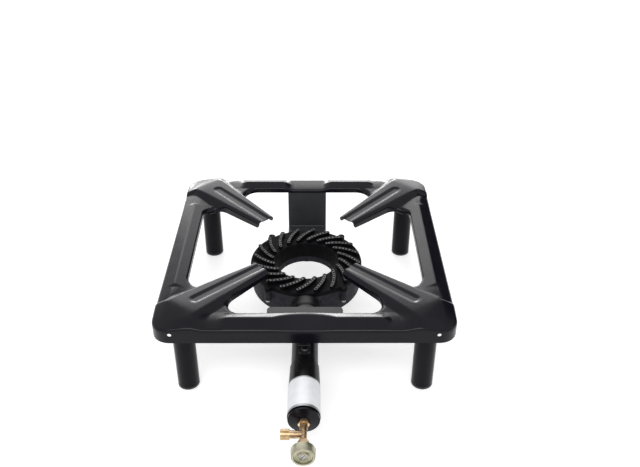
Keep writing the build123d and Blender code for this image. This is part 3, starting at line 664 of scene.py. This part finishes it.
def rib_turn():
    """How a rib turns from its inner end outwards: angle for each metre and for each square metre."""
    start = Vector((RIB_INNER, 0))
    end = RIB_OUTER * Vector((math.cos(RIB_SWEEP), -math.sin(RIB_SWEEP)))
    normal = Vector((math.sin(RIB_ENTRY), math.cos(RIB_ENTRY)))
    bend = (end - start).length_squared / (2 * normal.dot(end - start))
    centre = start + bend * normal
    middle = centre + abs(bend) * ((start + end) / 2 - centre).normalized()
    span = RIB_OUTER - RIB_INNER
    half = middle.length - RIB_INNER
    turn = math.atan2(middle.y, middle.x)
    square = (RIB_SWEEP / span + turn / half) / (half - span)
    return turn / half - square * half, square


def rib_stripe(cast):
    """1 along the middle of each curved rib, 0 at its sides."""
    x, y = cast.axis("X"), cast.axis("Y")
    squares = cast.math("ADD", cast.math("MULTIPLY", x, x), cast.math("MULTIPLY", y, y))
    radius = cast.math("SQRT", squares)
    outwards = cast.math("SUBTRACT", radius, RIB_INNER)
    linear, square = rib_turn()
    factor = cast.math("ADD", cast.math("MULTIPLY", outwards, square), linear)
    turned = cast.math("SUBTRACT", cast.math("ARCTAN2", y, x), cast.math("MULTIPLY", outwards, factor))
    step = 2 * math.pi / RIB_COUNT
    local = cast.math("FLOORED_MODULO", cast.math("SUBTRACT", turned, RIB_START - step / 2), step)
    across = cast.math("MULTIPLY", cast.math("ABSOLUTE", cast.math("SUBTRACT", local, step / 2)), radius)
    return cast.spread(across, 1, 0, low=RIM_WIDTH, high=RIM_WIDTH + RIM_FADE)


def cap_iron():
    """Black cast iron with grey rims round the ports, along the ground tops of the ribs, partly bare worn
    metal and partly a painted highlight.
    """
    cast, body = iron(
        "cast_iron", dark=(0.0015, 0.0015, 0.002), light=(0.006, 0.006, 0.0072), specular=0.06
    )
    ground = cast.spread(cast.axis("Z"), 0, 1, low=GROUND_TOP - GROUND_FADE, high=GROUND_TOP)
    wear_and_edge_shade = cast.clouds((0.003, 0.003, 0.004), (0.012, 0.012, 0.013), scale=420, detail=4, high=0.65)
    # The grey rims are partly bare worn metal and partly a painted highlight on the rib tops
    bare_metal_and_highlight = cast.clouds(grey(0.06), grey(0.26), scale=300, detail=3, high=0.65)
    cast.drive("Base Color", cast.mix(ground, body, cast.mix(rib_stripe(cast), wear_and_edge_shade, bare_metal_and_highlight)))
    return cast.material


def base_iron():
    """Bluish cast iron, with the tube's socket given painted shade, black at its sides, and a painted
    highlight, grey along its top.
    """
    cast, body = iron(
        "base_iron", dark=(0.011, 0.0105, 0.0145), light=(0.04, 0.0385, 0.047), specular=0.12
    )
    socket = cast.spread(cast.axis("Y"), 1, 0, low=SOCKET_START - SOCKET_FADE, high=SOCKET_START)
    beside = cast.math("ABSOLUTE", cast.axis("X"))
    crest = cast.spread(beside, 1, 0, low=SOCKET_CREST, high=SOCKET_FLANK)
    # Painted light on the socket: painted shade at its sides and a painted highlight along its top
    socket_highlight_and_shade = cast.mix(crest, (0.005, 0.005, 0.006), grey(0.065))
    cast.drive("Base Color", cast.mix(socket, body, socket_highlight_and_shade))
    return cast.material


def tube_black():
    """Gloss black paint that heat has dulled to grey near the burner."""
    black = (0.004, 0.004, 0.0045)
    tube = Shader("tube_paint", black, roughness=0.24, specular=0.12)
    heated = tube.spread(tube.axis("Y"), 0, 1, low=HEAT_END - HEAT_FADE, high=HEAT_END + HEAT_FADE)
    gloss = tube.clouds(black, (0.007, 0.007, 0.0078), scale=14, detail=4)
    dull = tube.clouds(grey(0.1), grey(0.16), scale=90, detail=4)
    tube.drive("Base Color", tube.mix(heated, gloss, dull))
    dulled = tube.spread(heated, start=0.2, end=0.55, low=0, high=1)
    sheen = tube.spread(tube.noise(scale=40, detail=3), start=0.0, end=0.08)
    tube.drive("Roughness", tube.math("ADD", dulled, sheen))
    orange_peel(tube)
    return tube.material


def foil():
    """Bare white-silver label foil with faint ripples and plain silver bands at its front and rear."""
    label = Shader("foil", grey(0.8), roughness=0.4)
    front = label.spread(label.axis("Y"), 1, 0, low=FRONT_BAND - BAND_FADE, high=FRONT_BAND + BAND_FADE)
    rear = label.spread(label.axis("Y"), 0, 1, low=REAR_BAND - BAND_FADE, high=REAR_BAND + BAND_FADE)
    band = label.math("MAXIMUM", front, rear)
    face = label.clouds((0.8, 0.82, 0.85), (0.88, 0.89, 0.91), scale=90, detail=3, low=NOISE_LOW)
    label.drive("Base Color", label.mix(band, face, (0.42, 0.42, 0.44)))
    label.drive("Roughness", label.spread(label.noise(scale=150, detail=2), start=0.34, end=0.46))
    label.drive("Metallic", label.spread(band, start=0.1, end=0.9, low=0, high=1))
    label.bump(label.noise(scale=120, detail=2), distance=0.0004, strength=0.4)
    return label.material


def turned_metal(name, dark, light, roughness, stretch):
    """Machined metal with cloudy tarnish and fine tool marks, even or across an axis."""
    metal = Shader(name, light, roughness, metallic=1.0)
    metal.drive("Base Color", metal.clouds(dark, light, scale=160, detail=5, low=NOISE_LOW, high=0.68))
    marks = metal.noise(scale=900, detail=2, roughness=0.5, stretch=stretch)
    metal.drive("Roughness", metal.spread(marks, start=roughness - 0.08, end=roughness + 0.1))
    metal.bump(marks, distance=0.00015, strength=0.5)
    return metal.material


def passivated_wheel():
    """Pale passivated zinc, green, straw and pink in patches, with turning rings round the axis and
    painted shade darkening its edges.
    """
    zinc = Shader("passivated_zinc", (0.5, 0.5, 0.36), roughness=0.4, metallic=1.0)
    flat = zinc.node("ShaderNodeMapping")
    flat.inputs["Location"].default_value = (0, 0, -WHEEL_AXIS)
    flat.inputs["Scale"].default_value = (1, 0, 1)
    zinc.link(zinc.coordinates, flat.inputs["Vector"])
    radius = zinc.node("ShaderNodeVectorMath", operation="LENGTH")
    zinc.link(flat.outputs["Vector"], radius.inputs[0])
    turns = zinc.math("MULTIPLY", radius.outputs["Value"], 2 * math.pi / WHEEL_RING)
    rings = zinc.math("SINE", turns)
    tints = (
        (0.32, (0.28, 0.31, 0.2)),
        (0.45, (0.44, 0.44, 0.32)),
        (0.58, (0.54, 0.48, 0.39)),
        (0.7, (0.4, 0.44, 0.3)),
    )
    patches = zinc.ramp(zinc.noise(scale=130, detail=3), tints)
    grooved = zinc.spread(rings, start=0, end=0.45, low=-1, high=1)
    face = zinc.mix(grooved, patches, (0.16, 0.16, 0.1))
    # Painted shade: the colour darkens along the wheel's edges
    wear_and_edge_shade = zinc.spread(zinc.edge(WHEEL_EDGE), start=0, end=0.7, low=0, high=1)
    zinc.drive("Base Color", zinc.mix(wear_and_edge_shade, face, (0.14, 0.13, 0.08)))
    zinc.drive("Roughness", zinc.spread(rings, start=0.36, end=0.5, low=-1, high=1))
    zinc.bump(rings, distance=0.00012, strength=0.5)
    return zinc.material


def plain_plastic(name, dark, light, roughness):
    """Moulded plastic with a faint grain."""
    plastic = Shader(name, dark, roughness)
    plastic.drive("Base Color", plastic.clouds(dark, light, scale=70, detail=3))
    sheen = plastic.noise(scale=260, detail=3)
    plastic.drive("Roughness", plastic.spread(sheen, start=roughness - 0.08, end=roughness + 0.08))
    plastic.bump(plastic.noise(scale=700, detail=3), distance=0.0003, strength=0.5)
    return plastic.material


def slot_finishes():
    """The finish of each material slot."""
    enamel = black_paint(
        "enamel", dark=(0.0048, 0.0044, 0.0078), light=(0.0068, 0.0062, 0.0105), gloss=0.17, specular=0.18
    )
    brass = turned_metal(
        "brass", dark=(0.22, 0.145, 0.085), light=(0.6, 0.435, 0.275), roughness=0.32, stretch=ACROSS_Y
    )
    steel = turned_metal(
        "screw_steel", dark=(0.3, 0.3, 0.31), light=(0.5, 0.5, 0.51), roughness=0.36, stretch=EVEN
    )
    return {
        "enamel": enamel,
        "tube_paint": tube_black(),
        "cast_iron": cap_iron(),
        "foil": foil(),
        "brass": brass,
        "screw_steel": steel,
        "passivated_zinc": passivated_wheel(),
        "foot_plastic": plain_plastic("foot_plastic", dark=grey(0.01), light=grey(0.018), roughness=0.45),
        "packing": plain_plastic("packing", dark=(0.7, 0.7, 0.66), light=(0.8, 0.8, 0.77), roughness=0.5),
    }


def own_finishes():
    """Finishes of the nodes that look a little different from the rest of their slot."""
    bright_brass = turned_metal(
        "bright_brass", dark=(0.62, 0.44, 0.25), light=(0.86, 0.67, 0.42), roughness=0.26, stretch=ACROSS_X
    )
    nipple_brass = turned_metal(
        "nipple_brass", dark=(0.32, 0.21, 0.11), light=(0.58, 0.41, 0.235), roughness=0.3, stretch=ACROSS_X
    )
    bracket_paint = black_paint(
        "bracket_paint", dark=(0.014, 0.014, 0.0155), light=(0.02, 0.02, 0.022), gloss=0.32, specular=0.3
    )
    leg_paint = black_paint(
        "leg_paint", dark=(0.0042, 0.004, 0.0066), light=(0.0058, 0.0054, 0.009), gloss=0.2, specular=0.11
    )
    strap_paint = black_paint(
        "strap_paint", dark=(0.03, 0.031, 0.034), light=(0.045, 0.046, 0.05), gloss=0.4, specular=0.3
    )
    dark_steel = turned_metal(
        "dark_steel", dark=(0.05, 0.05, 0.055), light=(0.13, 0.13, 0.135), roughness=0.42, stretch=EVEN
    )
    finishes = {
        "inlet_nipple": nipple_brass,
        "lock_nut": bright_brass,
        "front_bracket": bracket_paint,
        "rear_bracket": strap_paint,
        "tube_screw": dark_steel,
        "burner_base": base_iron(),
    }
    finishes.update({name: leg_paint for name in nodes if name.startswith("leg_")})
    return finishes


def coat(piece, material):
    """Gives a piece one material."""
    piece.data.materials.clear()
    piece.data.materials.append(material)


def ray_kinds(kit):
    """1 for the rays that see the surroundings straight on, and 1 for those that see them reflected."""
    rays = kit.node("ShaderNodeLightPath")
    direct = kit.math("MAXIMUM", rays.outputs["Is Camera Ray"], rays.outputs["Is Transmission Ray"])
    return direct, rays.outputs["Is Glossy Ray"]


def studio_world():
    """A white studio that is dim low behind on the right, with less light on matt surfaces."""
    world = bpy.data.worlds.new("studio")
    world.use_nodes = True
    bpy.context.scene.world = world
    kit = Nodes(world.node_tree, "Generated")
    low = kit.spread(kit.axis("Z"), 1, 0, *DIM_BELOW)
    right = kit.spread(kit.axis("X"), 0, 1, *DIM_RIGHT)
    behind = kit.spread(kit.axis("Y"), 0, 1, *DIM_BEHIND)
    dim = kit.math("MULTIPLY", low, kit.math("MULTIPLY", right, behind))
    white = grey(1.0)
    direct, reflected = ray_kinds(kit)
    room = kit.mix(reflected, grey(MATT_LEVEL), kit.mix(dim, white, grey(DIM_LEVEL)))
    background = world.node_tree.nodes["Background"]
    kit.link(kit.mix(direct, room, white), background.inputs["Color"])


def floor():
    """A wide pale floor that keeps the soft shadow and reads as white."""
    mesh = bmesh.new()
    bmesh.ops.create_circle(mesh, cap_ends=True, segments=FLOOR_SEGMENTS, radius=FLOOR_RADIUS)
    piece = new_piece("floor", mesh)
    piece.location.z = FLOOR_HEIGHT
    paper = Shader("floor", grey(0.82), roughness=0.9, specular=0.0)
    paper.drive("Base Color", paper.clouds(grey(0.81), grey(0.83), scale=3, detail=2, low=NOISE_LOW))
    paper.principled.inputs["Emission Color"].default_value = (1, 1, 1, 1)
    seen = paper.math("MAXIMUM", *ray_kinds(paper))
    paper.drive("Emission Strength", paper.math("MULTIPLY", seen, FLOOR_GLOW))
    coat(piece, paper.material)


def area_light(name, place, target, size, radiance):
    """A soft studio panel that faces a point and isn't seen itself."""
    light = bpy.data.lights.new(name, "AREA")
    light.shape = "RECTANGLE"
    light.size, light.size_y = size
    light.energy = radiance * math.pi * size[0] * size[1]
    lamp = bpy.data.objects.new(name, light)
    lamp.location = place
    lamp.rotation_euler = (Vector(target) - Vector(place)).to_track_quat("-Z", "Y").to_euler()
    lamp.visible_camera = False
    bpy.context.scene.collection.objects.link(lamp)


def rear_panel(name, bearings, elevations, radiance):
    """A panel far behind, between bearings and elevations in degrees as seen from between the arms."""
    sides = [REAR_DISTANCE * math.tan(math.radians(angle)) for angle in bearings]
    rises = [REAR_DISTANCE * math.tan(math.radians(angle)) for angle in elevations]
    place = (sum(sides) / 2, REAR_DISTANCE, ARM_TIP_HEIGHT * MM + sum(rises) / 2)
    size = (sides[1] - sides[0], rises[1] - rises[0])
    area_light(name, place, (place[0], 0, place[2]), size, radiance)


def studio_lights():
    """Panels that the gloss paint mirrors, and a softbox above the front."""
    rear_panel("backdrop_top", bearings=(-27, 3), elevations=(38.5, 44), radiance=1.4)
    rear_panel("backdrop_left", bearings=(-27, 3), elevations=(25, 38.5), radiance=3.2)
    rear_panel("backdrop_right", bearings=(3, 21), elevations=(25, 38.5), radiance=1.8)
    rear_panel("backdrop_low", bearings=(-31.5, 21), elevations=(9, 25), radiance=1.9)
    rear_panel("horizon_low", bearings=(-32, -13), elevations=(-1.4, 2), radiance=2.5)
    rear_panel("horizon_left", bearings=(-32, -24), elevations=(2, 9), radiance=3.0)
    rear_panel("horizon_glint", bearings=(-24, -17), elevations=(2, 9), radiance=9.0)
    rear_panel("horizon_near", bearings=(-17, -13), elevations=(2, 9), radiance=3.0)
    rear_panel("horizon_middle", bearings=(-13, 9), elevations=(-1.4, 9), radiance=9.0)
    rear_panel("horizon_right", bearings=(9, 24), elevations=(-1.4, 9), radiance=0.9)
    area_light(
        "front_softbox", place=(-0.2, -1.5, 2.0), target=(0, -0.1, 0.1), size=(1.6, 0.65), radiance=5.5
    )


def photo_camera():
    """The camera at the photograph's place and angle."""
    camera = bpy.data.objects.new("camera", bpy.data.cameras.new("camera"))
    camera.data.lens = CAMERA_LENS
    yaw = Matrix.Rotation(CAMERA_YAW, 3, "Z")
    forward = yaw @ Vector((0, math.cos(CAMERA_PITCH), -math.sin(CAMERA_PITCH)))
    level = yaw @ Vector((1, 0, 0))
    upright = yaw @ Vector((0, math.sin(CAMERA_PITCH), math.cos(CAMERA_PITCH)))
    right = math.cos(CAMERA_ROLL) * level + math.sin(CAMERA_ROLL) * upright
    up = math.cos(CAMERA_ROLL) * upright - math.sin(CAMERA_ROLL) * level
    pose = Matrix((right, up, -forward)).transposed().to_4x4()
    pose.translation = Vector(CAMERA_PLACE)
    camera.matrix_world = pose
    bpy.context.scene.collection.objects.link(camera)
    bpy.context.scene.camera = camera


sheet = pressed_frame()
thicken(sheet)
for end in (-1, 1):
    cut_hole(sheet, end * HOLE_SPACING / 2)
smooth(sheet)
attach(sheet, "stand")
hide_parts("top_frame")

by_slot = slot_finishes()
by_name = own_finishes()
for part in frame["record"]["subparts"]:
    name = part["node"]
    coat(nodes[name], by_name.get(name, by_slot[part["material_slot"]]))
coat(sheet, by_slot["enamel"])

studio_world()
floor()
studio_lights()
photo_camera()
bpy.context.scene.view_settings.view_transform = "Standard"
